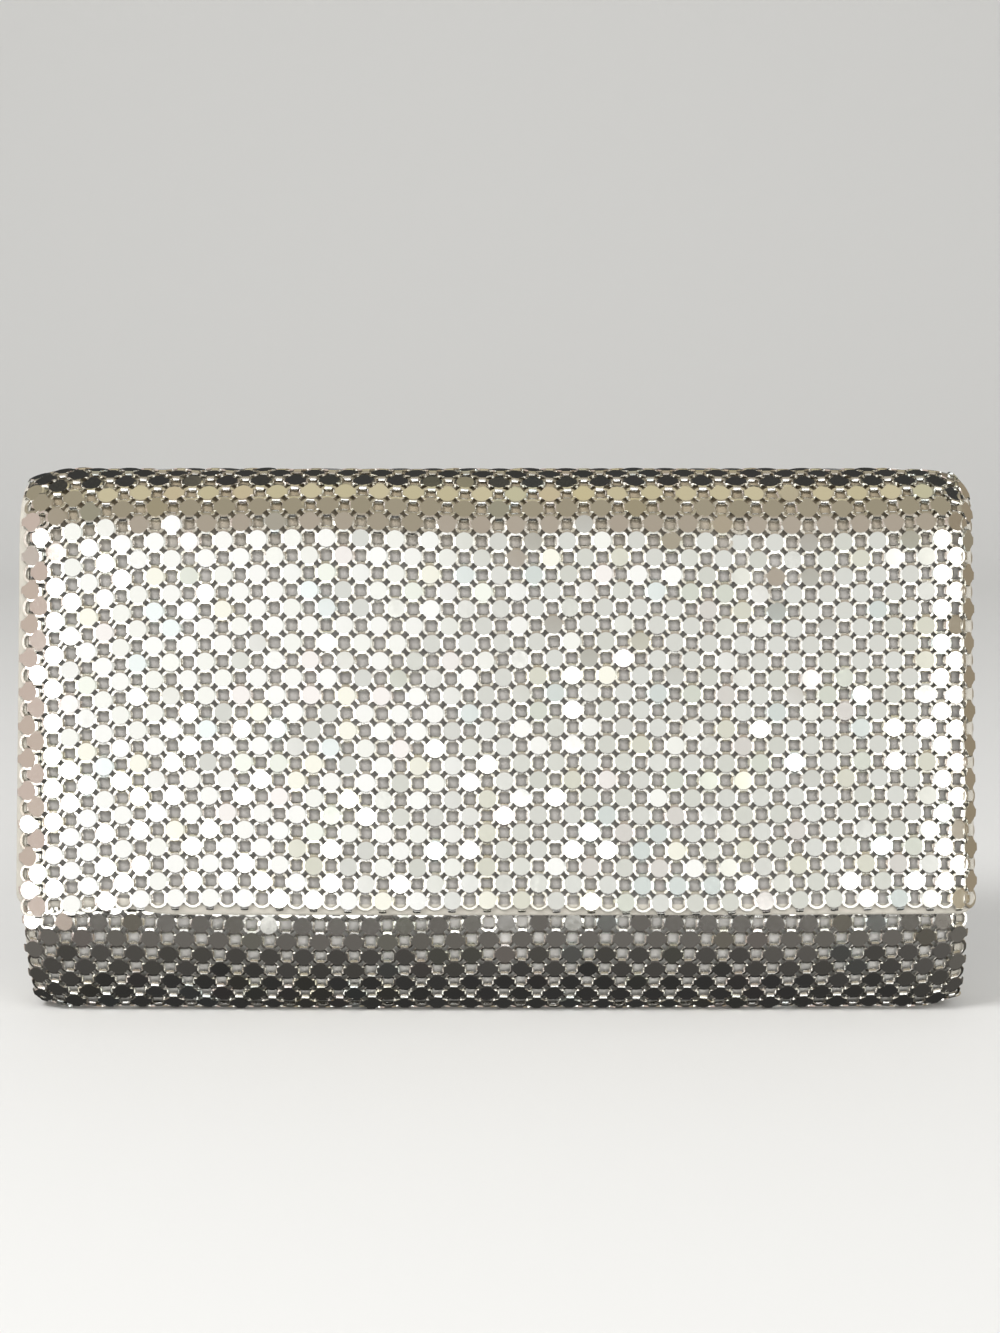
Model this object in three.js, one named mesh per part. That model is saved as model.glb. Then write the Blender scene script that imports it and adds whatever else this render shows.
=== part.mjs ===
// Evening purse with a fold-over flap: a hollow cloth pouch with folded side gussets, a long flap that comes
// over from the back, a skin of metal mesh on both, a cloth edging along their free sides and a hidden snap.
// Millimetres, +Z up. The front looks along -Y and X runs across. The purse stands on its flat base, and the
// origin is on the ground under the middle of its box.

import * as THREE from 'three';

// Overall sizes
const WIDTH = 198.5; // pouch and crown, edging included
const HEM_SPREAD = 1.5; // how much wider than that the flap is at its hem
const HEIGHT = 115;
const HEM_HEIGHT = 23.6; // the flap's lower edge above the ground
const MOUTH_DROP = 22; // from the top down to the upper edge of the pouch's front wall
const SEAM_DROP = 27; // and to the seam that holds the flap on the back wall

// Layers, from the outside in
const SKIN = 0.9; // metal mesh
const CLEARANCE = 0.3; // between pieces that touch
const CLOTH = 1.8; // stiffened cloth under the mesh
const FLAP_GAP = 1.6; // flap to pouch front, where the snap sits
const WALL = SKIN + CLEARANCE + CLOTH;

// The side view: how far the faces lean, and the round stretches between them
const FRONT_LEAN = 8; // degrees
const BACK_LEAN = 1; // degrees
const CROWN_RADIUS = 14;
const BELLY_RADIUS = 30;
const BELLY_BEND = 50; // degrees
const HEEL_RADIUS = 5.5;
const BACK_HEEL_RADIUS = 10;
const BACK_HEEL_BEND = 40; // degrees
const BACK_BELLY_RADIUS = 20;

// The front view: soft sides and a little fullness
const ROLL_WIDTH = 11; // the faces fall away this far in from each side
const ROLL_DEPTH = 2.2;
const FULLNESS = 1.2; // how far the faces swell at mid-width

// Edging, gussets and snap
const EDGING_WIDTH = 2.4;
const CORNER_RADIUS = 0.8; // inside of the edging at the flap's two corners
const GUSSET_THICKNESS = 1.2;
const GUSSET_INSET = 1.2; // gusset behind the cloth's side edge
const GUSSET_FOLD = 7; // how far it folds inwards at the mouth
const GUSSET_FOOT_FOLD = 1.5; // and at its foot
const GUSSET_TOP_DROP = 1.5; // below the mouth
const GUSSET_CREASE = 1.5; // how sharp its fold is: 1 is a sharp crease
const SNAP_RADIUS = 7;
const SNAP_RISE = 19.5; // its middle above the flap's lower edge

// Fineness of the facets
const ARC_STEP = 12; // degrees
const FLAT_STEP = 26; // along straight stretches
const ACROSS_FLAT = 6; // facets across the swell
const ACROSS_ROLL = 2; // facets across each soft side
const CORNER_FACETS = 4; // round each corner of the flap's edging
const GUSSET_ROWS = 10; // closer together towards the foot
const GUSSET_COLUMNS = 8;
const SNAP_SIDES = 24;

const radians = THREE.MathUtils.degToRad;

// A point that goes along a path in the side view: y, z and the way it heads, in degrees.
function step(at, { run = 0, radius = 0, bend = 0 }) {
  const heading = radians(at.heading);
  if (bend === 0) {
    return {
      y: at.y + run * Math.cos(heading),
      z: at.z + run * Math.sin(heading),
      heading: at.heading,
    };
  }
  const turned = radians(at.heading + bend);
  return {
    y: at.y + radius * (Math.sin(turned) - Math.sin(heading)),
    z: at.z - radius * (Math.cos(turned) - Math.cos(heading)),
    heading: at.heading + bend,
  };
}

const walk = (start, stretches) => stretches.reduce(step, start);

const stretchLength = ({ run = 0, radius = 0, bend = 0 }) => run + radius * radians(bend);

// One strip makes the whole purse: down the pouch's front, along the base, up the back, over the crown and
// down the flap. This is its outer face, with a row for each stretch.
const crown = { y: 0, z: HEIGHT - CROWN_RADIUS };
const mouthHeight = HEIGHT - MOUTH_DROP;
const seamHeight = HEIGHT - SEAM_DROP;
const frontHeading = 270 - FRONT_LEAN;
const faceOffset = CROWN_RADIUS - WALL - FLAP_GAP;

// Where a face that leans, and that lies at a distance from the crown's centre, is at a height.
const frontFaceY = (z) =>
  -faceOffset / Math.cos(radians(FRONT_LEAN)) - (crown.z - z) * Math.tan(radians(FRONT_LEAN));
const backFaceY = (z) =>
  CROWN_RADIUS / Math.cos(radians(BACK_LEAN)) + (crown.z - z) * Math.tan(radians(BACK_LEAN));

const belly = { radius: BELLY_RADIUS, bend: BELLY_BEND };
const heel = { radius: HEEL_RADIUS, bend: 90 + FRONT_LEAN - BELLY_BEND };
const backHeel = { radius: BACK_HEEL_RADIUS, bend: BACK_HEEL_BEND };
const backBelly = { radius: BACK_BELLY_RADIUS, bend: 90 + BACK_LEAN - BACK_HEEL_BEND };

const frontFoot = walk({ y: 0, z: 0, heading: frontHeading }, [belly, heel]);
const backFoot = walk({ y: 0, z: 0, heading: 0 }, [backHeel, backBelly]);
const bellyTop = -frontFoot.z;
const baseFront = frontFaceY(bellyTop) + frontFoot.y;
const baseBack = backFaceY(backFoot.z) - backFoot.y;
const crownBack = crown.z + CROWN_RADIUS * Math.sin(radians(BACK_LEAN));
const crownFront = crown.z + CROWN_RADIUS * Math.sin(radians(FRONT_LEAN));

const alongFront = (rise) => rise / Math.cos(radians(FRONT_LEAN));
const alongBack = (rise) => rise / Math.cos(radians(BACK_LEAN));

const strip = [
  { name: 'face', run: alongFront(mouthHeight - bellyTop) },
  { name: 'belly', ...belly },
  { name: 'heel', ...heel },
  { name: 'base', run: baseBack - baseFront },
  { name: 'back_heel', ...backHeel },
  { name: 'back_belly', ...backBelly },
  { name: 'back', run: alongBack(crownBack - backFoot.z) },
  { name: 'crown', radius: CROWN_RADIUS, bend: 180 - BACK_LEAN - FRONT_LEAN },
  { name: 'flap', run: alongFront(crownFront - HEM_HEIGHT) },
];
const mouth = { y: frontFaceY(mouthHeight), z: mouthHeight, heading: frontHeading };

// Each stretch with where it starts, on the path and along it.
let reached = { at: mouth, s: 0 };
for (const stretch of strip) {
  Object.assign(stretch, reached);
  reached = { at: step(reached.at, stretch), s: reached.s + stretchLength(stretch) };
}
const HEM = reached.s;
const named = (name) => strip.find((stretch) => stretch.name === name);
const SEAM = named('crown').s - alongBack(crownBack - seamHeight);

// The outer face at a distance along the strip: its place and its outward normal in the side view.
function outerAt(s) {
  const stretch = strip.findLast((each) => each.s <= s) ?? strip[0];
  const beyond = s - stretch.s;
  const part = stretch.bend
    ? { radius: stretch.radius, bend: THREE.MathUtils.radToDeg(beyond / stretch.radius) }
    : { run: beyond };
  const at = step(stretch.at, part);
  const heading = radians(at.heading);
  return { y: at.y, z: at.z, ny: Math.sin(heading), nz: -Math.cos(heading) };
}

// The soft sides: how far every layer falls inwards at a distance from the middle.
function roll(x) {
  const into = Math.max(0, Math.abs(x) - (WIDTH / 2 - ROLL_WIDTH)) / ROLL_WIDTH;
  return ROLL_DEPTH * into ** 2;
}

// A point of the purse, from its place across, along the strip, and out from the outer face.
function place(x, s, out) {
  const { y, z, ny, nz } = outerAt(s);
  const down = Math.max(0, (s - named('flap').s) / (HEM - named('flap').s));
  const spread = 1 + (down * HEM_SPREAD) / WIDTH;
  const swell = FULLNESS * ny * Math.max(0, 1 - (2 * x / WIDTH) ** 2);
  const depth = out - roll(x);
  return new THREE.Vector3(x * spread, y + ny * depth + swell, z + nz * depth);
}

const spaced = (from, to, count) =>
  Array.from({ length: count + 1 }, (_, i) => from + ((to - from) * i) / count);

// Distances along the strip between two places, close together where it is round.
function stationsAlong(from, to) {
  const stations = [from];
  for (const stretch of strip) {
    const start = Math.max(from, stretch.s);
    const end = Math.min(to, stretch.s + stretchLength(stretch));
    if (end <= start) continue;
    const share = (end - start) / stretchLength(stretch);
    const count = stretch.bend ? (stretch.bend * share) / ARC_STEP : (end - start) / FLAT_STEP;
    stations.push(...spaced(start, end, Math.max(1, Math.round(count))).slice(1));
  }
  return stations;
}

// Places across a layer, close together on its soft sides.
function stationsAcross(half) {
  const flat = WIDTH / 2 - ROLL_WIDTH;
  return [
    ...spaced(-half, -flat, ACROSS_ROLL),
    ...spaced(-flat, flat, ACROSS_FLAT).slice(1, -1),
    ...spaced(flat, half, ACROSS_ROLL),
  ];
}

// A closed geometry from points and faces, with its faces turned outwards.
function solid(points, faces) {
  const triangles = faces.flatMap(([a, b, c, d]) => (d === undefined ? [[a, b, c]] : [[a, b, c], [a, c, d]]));
  const volume = triangles.reduce(
    (sum, [a, b, c]) => sum + points[a].dot(points[b].clone().cross(points[c])),
    0,
  );
  const outward = volume < 0 ? triangles.map(([a, b, c]) => [a, c, b]) : triangles;
  const geometry = new THREE.BufferGeometry();
  geometry.setFromPoints(points);
  geometry.setIndex(outward.flat());
  geometry.computeVertexNormals();
  return geometry;
}

// A sheet with thickness, from rows of points on its two faces.
function slab(front, back) {
  const rows = front.length;
  const columns = front[0].length;
  const points = [...front.flat(), ...back.flat()];
  const near = (i, j) => i * columns + j;
  const far = (i, j) => near(i, j) + rows * columns;
  const faces = [];
  for (let i = 0; i < rows - 1; i++) {
    for (let j = 0; j < columns - 1; j++) {
      faces.push([near(i, j), near(i + 1, j), near(i + 1, j + 1), near(i, j + 1)]);
      faces.push([far(i, j), far(i, j + 1), far(i + 1, j + 1), far(i + 1, j)]);
    }
    faces.push([near(i, 0), far(i, 0), far(i + 1, 0), near(i + 1, 0)]);
    const last = columns - 1;
    faces.push([near(i, last), near(i + 1, last), far(i + 1, last), far(i, last)]);
  }
  for (let j = 0; j < columns - 1; j++) {
    faces.push([near(0, j), near(0, j + 1), far(0, j + 1), far(0, j)]);
    const last = rows - 1;
    faces.push([near(last, j), far(last, j), far(last, j + 1), near(last, j + 1)]);
  }
  return solid(points, faces);
}

// A bar from like rings of points, closed at both ends.
function bar(rings) {
  const sides = rings[0].length;
  const at = (i, j) => i * sides + (j % sides);
  const faces = [];
  for (let i = 0; i < rings.length - 1; i++) {
    for (let j = 0; j < sides; j++) faces.push([at(i, j), at(i, j + 1), at(i + 1, j + 1), at(i + 1, j)]);
  }
  const last = rings.length - 1;
  for (let j = 1; j < sides - 1; j++) {
    faces.push([at(0, 0), at(0, j + 1), at(0, j)]);
    faces.push([at(last, 0), at(last, j), at(last, j + 1)]);
  }
  return solid(rings.flat(), faces);
}

// One layer of the strip between two distances along it and two depths under its outer face.
function layer(from, to, top, thickness) {
  const across = stationsAcross(WIDTH / 2 - EDGING_WIDTH - CLEARANCE);
  const face = (out) => stationsAlong(from, to).map((s) => across.map((x) => place(x, s, out)));
  return slab(face(-top), face(-top - thickness));
}

const skin = (from, to) => layer(from, to, 0, SKIN);
const cloth = (from, to) => layer(from, to, SKIN + CLEARANCE, CLOTH);

// The edging's section, folded round the edge of skin and cloth: shares of its width and of the wall.
const edgingSection = [
  { across: 0, under: 0 },
  { across: 0.6, under: 0 },
  { across: 1, under: 0.25 },
  { across: 1, under: 0.75 },
  { across: 0.6, under: 1 },
  { across: 0, under: 1 },
];

// A ring of the edging at a place on its inner line, and the way it goes outwards from there.
const edgingRing = ({ x, s, outX, outS }) =>
  edgingSection.map(({ across, under }) =>
    place(x + outX * across * EDGING_WIDTH, s + outS * across * EDGING_WIDTH, -under * WALL));

function pouchEdging(side) {
  const x = side * (WIDTH / 2 - EDGING_WIDTH);
  return bar(stationsAlong(0, SEAM).map((s) => edgingRing({ x, s, outX: side, outS: 0 })));
}

// Down one side of the flap, round its corner, along the hem and up the other side.
function flapEdging() {
  const x = WIDTH / 2 - EDGING_WIDTH;
  const hem = HEM - EDGING_WIDTH;
  const sideStations = stationsAlong(SEAM + CLEARANCE, hem - CORNER_RADIUS);
  const side = sideStations.map((s) => ({ x: -x, s, outX: -1, outS: 0 }));
  const corner = spaced(0, 90, CORNER_FACETS).slice(1, -1).map((angle) => ({
    x: -x + CORNER_RADIUS * (1 - Math.cos(radians(angle))),
    s: hem - CORNER_RADIUS * (1 - Math.sin(radians(angle))),
    outX: -Math.cos(radians(angle)),
    outS: Math.sin(radians(angle)),
  }));
  const along = stationsAcross(x - CORNER_RADIUS).map((at) => ({ x: at, s: hem, outX: 0, outS: 1 }));
  const mirrored = [...side, ...corner].reverse().map((ring) => ({ ...ring, x: -ring.x, outX: -ring.outX }));
  return bar([...side, ...corner, ...along, ...mirrored].map(edgingRing));
}

// The free inner face of the pouch at a height, front or back, with the gusset's clearance.
function insideY(x, height, from, to) {
  const points = stationsAlong(from, to).map((s) => place(x, s, -WALL - CLEARANCE));
  const upper = points.findIndex((point, i) => i > 0 && (point.z - height) * (points[i - 1].z - height) <= 0);
  const [a, b] = [points[upper - 1], points[upper]];
  return a.y + ((b.y - a.y) * (height - a.z)) / (b.z - a.z);
}

// A side wall of the pouch, folded inwards down its middle and deeper towards the mouth.
function gusset(side) {
  const edge = WIDTH / 2 - EDGING_WIDTH - CLEARANCE - GUSSET_INSET;
  const foot = WALL + 2 * CLEARANCE + roll(edge);
  const top = mouthHeight - GUSSET_TOP_DROP;
  const halfway = named('base').s + named('base').run / 2;
  const face = (inwards) => spaced(0, 1, GUSSET_ROWS).map((row) => {
    const share = row ** 2;
    const z = foot + (top - foot) * share;
    const front = insideY(edge, z, 0, halfway);
    const back = insideY(edge, z, halfway, named('crown').s);
    const fold = GUSSET_FOOT_FOLD + (GUSSET_FOLD - GUSSET_FOOT_FOLD) * share;
    return spaced(0, 1, GUSSET_COLUMNS).map((across) => {
      const inset = fold * (1 - Math.abs(2 * across - 1) ** GUSSET_CREASE) + inwards;
      return new THREE.Vector3(side * (edge - inset), front + (back - front) * across, z);
    });
  });
  return slab(face(0), face(GUSSET_THICKNESS));
}

// The hidden snap: one plain button between the flap's lining side and the pouch's front.
function snap() {
  const geometry = new THREE.CylinderGeometry(
    SNAP_RADIUS, SNAP_RADIUS, FLAP_GAP - 2 * CLEARANCE, SNAP_SIDES,
  );
  const s = HEM - alongFront(SNAP_RISE);
  const mesh = piece('snap_clasp', geometry, materials.snap);
  mesh.position.copy(place(0, s, -WALL - FLAP_GAP / 2));
  mesh.rotation.x = radians(-FRONT_LEAN);
  return mesh;
}

const materials = {
  metal: new THREE.MeshStandardMaterial({ color: 0xd8d6cf, metalness: 1, roughness: 0.22 }),
  cloth: new THREE.MeshStandardMaterial({ color: 0xa9a59b, metalness: 0, roughness: 0.8 }),
  edging: new THREE.MeshStandardMaterial({ color: 0xcfc9ba, metalness: 0.2, roughness: 0.5 }),
  snap: new THREE.MeshStandardMaterial({ color: 0xb8b8b6, metalness: 1, roughness: 0.35 }),
};

function piece(name, geometry, material) {
  const mesh = new THREE.Mesh(geometry, material);
  mesh.name = name;
  return mesh;
}

const purse = new THREE.Group();
purse.add(
  piece('pouch_cloth', cloth(0, SEAM), materials.cloth),
  piece('pouch_mesh', skin(0, SEAM), materials.metal),
  piece('pouch_edging_left', pouchEdging(-1), materials.edging),
  piece('pouch_edging_right', pouchEdging(1), materials.edging),
  piece('gusset_left', gusset(-1), materials.cloth),
  piece('gusset_right', gusset(1), materials.cloth),
  piece('flap_cloth', cloth(SEAM + CLEARANCE, HEM - EDGING_WIDTH - CLEARANCE), materials.cloth),
  piece('flap_mesh', skin(SEAM + CLEARANCE, HEM - EDGING_WIDTH - CLEARANCE), materials.metal),
  piece('flap_edging', flapEdging(), materials.edging),
  snap(),
);

// The origin goes under the middle of the box.
const middle = new THREE.Box3().setFromObject(purse).getCenter(new THREE.Vector3());
purse.position.y = -middle.y;

export default purse;
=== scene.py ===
import math

import bpy
import numpy as np
from mathutils import Matrix, Vector


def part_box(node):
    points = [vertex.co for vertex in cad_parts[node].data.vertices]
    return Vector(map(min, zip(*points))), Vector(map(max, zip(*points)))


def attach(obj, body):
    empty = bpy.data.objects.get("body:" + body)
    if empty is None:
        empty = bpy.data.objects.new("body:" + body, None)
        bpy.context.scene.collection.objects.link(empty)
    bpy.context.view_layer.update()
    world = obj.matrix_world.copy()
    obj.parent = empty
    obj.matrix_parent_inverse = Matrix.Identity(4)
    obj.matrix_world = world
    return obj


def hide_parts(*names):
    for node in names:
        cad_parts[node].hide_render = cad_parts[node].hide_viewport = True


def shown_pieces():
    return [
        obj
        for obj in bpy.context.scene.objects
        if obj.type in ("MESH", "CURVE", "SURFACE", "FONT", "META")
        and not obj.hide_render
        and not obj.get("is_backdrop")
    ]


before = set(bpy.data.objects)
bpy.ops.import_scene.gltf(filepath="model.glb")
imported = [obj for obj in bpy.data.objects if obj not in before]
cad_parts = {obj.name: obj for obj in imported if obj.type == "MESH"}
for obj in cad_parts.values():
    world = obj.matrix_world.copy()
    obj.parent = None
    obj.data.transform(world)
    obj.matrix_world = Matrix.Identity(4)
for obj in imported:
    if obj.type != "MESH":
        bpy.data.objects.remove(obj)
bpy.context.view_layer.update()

# Camera
# It looks square on to the front of the flap, which leans back, from about an arm's length away and with a
# short telephoto lens, a little to the right of the purse's middle.
FRONT_LEAN = math.radians(8)
VIEW_DISTANCE = 0.4463
AIM_ALONG_FLAP = 0.0526  # from the flap's lower edge up to the point in the middle of the picture
AIM_ACROSS = 0.001
FOCAL_PIXELS = 2162
PICTURE_HEIGHT = 1333
SENSOR = 36

flap_up = Vector((0, math.sin(FRONT_LEAN), math.cos(FRONT_LEAN)))
flap_facing = Vector((0, -math.cos(FRONT_LEAN), math.sin(FRONT_LEAN)))
hem_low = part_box("flap_edging")[0]
aim = Vector((AIM_ACROSS, hem_low.y, hem_low.z)) + flap_up * AIM_ALONG_FLAP

camera_data = bpy.data.cameras.new("camera")
camera_data.sensor_width = SENSOR
camera_data.lens = FOCAL_PIXELS / PICTURE_HEIGHT * SENSOR
camera = bpy.data.objects.new("camera", camera_data)
bpy.context.scene.collection.objects.link(camera)
camera.location = aim + flap_facing * VIEW_DISTANCE
camera.rotation_euler = (-flap_facing).to_track_quat("-Z", "Y").to_euler()
bpy.context.scene.camera = camera

# Floor and backdrop
# One pale sweep: a level floor that turns up into a plain wall behind. The metal doesn't mirror it: what the
# plates and rings mirror is the room of the next section.
FLOOR_HALF_WIDTH = 2.5
FLOOR_FRONT = -2.0
WALL_DISTANCE = 0.9
WALL_HEIGHT = 2.2
SWEEP_RADIUS = 0.5
SWEEP_STEPS = 24
SWEEP_COLOUR = (0.74, 0.735, 0.72, 1)


def add(tree, kind, values=None, **settings):
    """A new node with its settings, and with a value or a link for each named input."""
    node = tree.nodes.new(kind)
    for key, value in settings.items():
        setattr(node, key, value)
    for key, value in (values or {}).items():
        if isinstance(value, bpy.types.NodeSocket):
            tree.links.new(value, node.inputs[key])
        else:
            node.inputs[key].default_value = value
    return node


def new_material(name):
    """An empty node material and its tree."""
    material = bpy.data.materials.new(name)
    material.use_nodes = True
    material.node_tree.nodes.clear()
    return material, material.node_tree


def new_object(name, points, faces, material):
    """A smooth mesh object at the origin from points and faces, linked into the scene."""
    mesh = bpy.data.meshes.new(name)
    mesh.from_pydata([tuple(point) for point in points], [], faces)
    mesh.materials.append(material)
    mesh.shade_smooth()
    made = bpy.data.objects.new(name, mesh)
    bpy.context.scene.collection.objects.link(made)
    return made


sweep_material, tree = new_material("pale_sweep")
shading = add(tree, "ShaderNodeBsdfDiffuse", {"Color": SWEEP_COLOUR})
add(tree, "ShaderNodeOutputMaterial", {"Surface": shading.outputs[0]})

turns = [math.pi / 2 * i / SWEEP_STEPS for i in range(SWEEP_STEPS + 1)]
profile = [(FLOOR_FRONT, 0)]
profile += [(WALL_DISTANCE + SWEEP_RADIUS * math.sin(a), SWEEP_RADIUS * (1 - math.cos(a))) for a in turns]
profile += [(WALL_DISTANCE + SWEEP_RADIUS, WALL_HEIGHT)]
sweep_points = [(side * FLOOR_HALF_WIDTH, y, z) for y, z in profile for side in (-1, 1)]
sweep_faces = [(2 * i, 2 * i + 1, 2 * i + 3, 2 * i + 2) for i in range(len(profile) - 1)]
sweep = new_object("sweep", sweep_points, sweep_faces, sweep_material)
sweep.visible_glossy = False
sweep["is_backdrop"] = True

# Light
# Soft lamps for cloth and floor, and for the metal a room that only it mirrors: a bright window to the left
# with a pale curtain beside it, a dimmer window to the right, a warm ceiling, a dim floor, and paler walls
# behind.
LAMPS = [
    # name, across, along the flap, distance, width and height, power
    ("key_lamp", -0.55, 0.75, 0.75, 0.35, 9.0),
    ("fill_lamp", 0.7, 0.35, 0.9, 0.9, 6.0),
]
DAYLIGHT = (0.80, 0.80, 0.79, 1)
DAYLIGHT_STRENGTH = 0.75
UNLIT = (0.045, 0.044, 0.042, 1)
ROOM = [
    # what it is, where it starts and ends across and up, its soft edge, all in degrees, and its colour
    ("floor_near", -180, 180, -90, -10, 3, (0.035, 0.034, 0.033, 1)),
    ("floor_middle", -110, 110, -72, -10, 8, (0.070, 0.066, 0.061, 1)),
    ("floor_far", -110, 110, -46, -10, 8, (0.150, 0.140, 0.128, 1)),
    ("ceiling", -95, 95, 10, 95, 3, (0.46, 0.40, 0.33, 1)),
    ("ceiling_middle", -95, 95, 30, 64, 5, (0.37, 0.325, 0.24, 1)),
    ("ceiling_lamps", -95, 95, 64, 95, 4, (0.62, 0.55, 0.37, 1)),
    ("ceiling_lamps_back", -181, 181, 80, 95, 3, (0.62, 0.55, 0.37, 1)),
    ("wall_left", -150, -31, -26, 32, 4, (0.62, 0.51, 0.45, 1)),
    ("wall_right", 38, 160, -26, 32, 5, (0.32, 0.265, 0.19, 1)),
    ("wall_front", -6, 40, -9, 10, 2, (0.77, 0.775, 0.735, 1)),
    ("window_right", 20, 46, -9, 10, 3, (2.4, 2.35, 2.2, 1)),
    ("curtain", -22, -1.4, -9, 11, 1.6, (1.10, 1.10, 1.075, 1)),
    ("window_left", -32, -20, -9, 11, 1.6, (6.0, 6.0, 5.8, 1)),
    ("window_sill", -60, 60, -18, -10.2, 1.2, (3.9, 3.9, 3.8, 1)),
]
ROOM_BEHIND = [
    # the same on both sides, so across is counted from straight ahead to straight behind
    ("floor_behind", 152, 181, -27, -8, 3, (0.50, 0.49, 0.47, 1)),
    ("wall_behind", 152, 181, -10, 14, 3, (0.95, 0.95, 0.93, 1)),
]

for name, across, along, distance, size, power in LAMPS:
    lamp_data = bpy.data.lights.new(name, "AREA")
    lamp_data.size = size
    lamp_data.energy = power
    lamp = bpy.data.objects.new(name, lamp_data)
    bpy.context.scene.collection.objects.link(lamp)
    lamp.location = aim + Vector((across, 0, 0)) + flap_up * along + flap_facing * distance
    lamp.rotation_euler = (aim - lamp.location).to_track_quat("-Z", "Y").to_euler()
    lamp.visible_glossy = False


def new_group(name, inputs, outputs):
    """An empty shader node group with named sockets, and the node that gives its inputs."""
    tree = bpy.data.node_groups.new(name, "ShaderNodeTree")
    for title, kind in inputs:
        tree.interface.new_socket(name=title, in_out="INPUT", socket_type="NodeSocket" + kind)
    for title, kind in outputs:
        tree.interface.new_socket(name=title, in_out="OUTPUT", socket_type="NodeSocket" + kind)
    return tree, add(tree, "NodeGroupInput").outputs


def use_group(tree, group, values):
    """A shader node group placed in a tree with its own values."""
    return add(tree, "ShaderNodeGroup", values, node_tree=group)


def patch_group():
    """Paints one patch of the room over what lies under it, by the direction in which it is seen."""
    edges = ["Across From", "Across To", "Up From", "Up To"]
    inputs = [("Across", "Float"), ("Up", "Float")] + [(edge, "Float") for edge in edges]
    inputs += [("Edge", "Float"), ("Under", "Color"), ("Colour", "Color")]
    tree, given = new_group("patch_of_room", inputs, [("Colour", "Color")])
    share = None
    for edge in edges:
        values = {0: given[edge], 1: given["Edge"]}
        before = add(tree, "ShaderNodeMath", values, operation="SUBTRACT").outputs[0]
        after = add(tree, "ShaderNodeMath", values, operation="ADD").outputs[0]
        rising = edge.endswith("From")
        values = {"Value": given[edge.split()[0]], "From Min": before, "From Max": after}
        values |= {"To Min": 0 if rising else 1, "To Max": 1 if rising else 0}
        step_in = add(tree, "ShaderNodeMapRange", values, interpolation_type="SMOOTHSTEP").outputs[0]
        if share is None:
            share = step_in
        else:
            share = add(tree, "ShaderNodeMath", {0: share, 1: step_in}, operation="MULTIPLY").outputs[0]
    values = {0: share, 6: given["Under"], 7: given["Colour"]}
    painted = add(tree, "ShaderNodeMix", values, data_type="RGBA")
    add(tree, "NodeGroupOutput", {"Colour": painted.outputs[2]})
    return tree


world = bpy.data.worlds.new("room")
bpy.context.scene.world = world
world.use_nodes = True
tree = world.node_tree
tree.nodes.clear()
seen_towards = add(tree, "ShaderNodeTexCoord").outputs["Generated"]
level = add(tree, "ShaderNodeMapping", {"Vector": seen_towards, "Rotation": (FRONT_LEAN, 0, 0)})
part = add(tree, "ShaderNodeSeparateXYZ", {0: level.outputs[0]}).outputs
forwards = add(tree, "ShaderNodeMath", {0: part[1], 1: -1.0}, operation="MULTIPLY").outputs[0]
across = add(tree, "ShaderNodeMath", {0: part[0], 1: forwards}, operation="ARCTAN2").outputs[0]
across = add(tree, "ShaderNodeMath", {0: across}, operation="DEGREES").outputs[0]
behind = add(tree, "ShaderNodeMath", {0: across}, operation="ABSOLUTE").outputs[0]
up = add(tree, "ShaderNodeMath", {0: part[2]}, operation="ARCSINE").outputs[0]
up = add(tree, "ShaderNodeMath", {0: up}, operation="DEGREES").outputs[0]
PATCH = patch_group()
mirrored = add(tree, "ShaderNodeRGB").outputs[0]
mirrored.default_value = UNLIT
for patches, direction in ((ROOM, across), (ROOM_BEHIND, behind)):
    for name, from_across, to_across, from_up, to_up, edge, colour in patches:
        values = {"Across": direction, "Up": up, "Across From": from_across, "Across To": to_across}
        values |= {"Up From": from_up, "Up To": to_up, "Edge": edge, "Under": mirrored, "Colour": colour}
        mirrored = use_group(tree, PATCH, values).outputs[0]
rays = add(tree, "ShaderNodeLightPath")
to_cloth = add(tree, "ShaderNodeBackground", {"Color": DAYLIGHT, "Strength": DAYLIGHT_STRENGTH})
to_metal = add(tree, "ShaderNodeBackground", {"Color": mirrored})
chosen = {0: rays.outputs["Is Glossy Ray"], 1: to_cloth.outputs[0], 2: to_metal.outputs[0]}
either = add(tree, "ShaderNodeMixShader", chosen)
add(tree, "ShaderNodeOutputWorld", {"Surface": either.outputs[0]})
bpy.context.scene.view_settings.view_transform = "Standard"

# Pouch wall
# Stiffened pale cloth in one strip: down the front, along the base and up the back. Its path in the side
# view also shapes the flap and the metal mesh, which run on from it, so the path stands here.
WIDTH = 0.1985  # pouch and crown, edging included
HEM_SPREAD = 0.0015  # how much wider than that the flap is at its hem
HEIGHT = 0.115
HEM_HEIGHT = 0.0236  # the flap's lower edge above the floor
MOUTH_DROP = 0.022  # from the top down to the upper edge of the pouch's front
SEAM_DROP = 0.027  # and to the seam that holds the flap on the back
SKIN = 0.0009  # metal mesh
CLEARANCE = 0.0003
CLOTH = 0.0018
FLAP_GAP = 0.0016  # flap to pouch front, where the snap sits
WALL = SKIN + CLEARANCE + CLOTH
BACK_LEAN = math.radians(1)
CROWN_RADIUS = 0.014
BELLY_RADIUS, BELLY_BEND = 0.030, math.radians(50)
HEEL_RADIUS, HEEL_BEND = 0.0055, math.radians(90) + FRONT_LEAN - BELLY_BEND
BACK_HEEL_RADIUS, BACK_HEEL_BEND = 0.010, math.radians(40)
BACK_BELLY_RADIUS, BACK_BELLY_BEND = 0.020, math.radians(90) + BACK_LEAN - BACK_HEEL_BEND
ROLL_WIDTH = 0.011  # the faces fall away this far in from each side
ROLL_DEPTH = 0.0022
FULLNESS = 0.0012  # how far the faces swell at mid-width
EDGING_WIDTH = 0.0024
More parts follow.
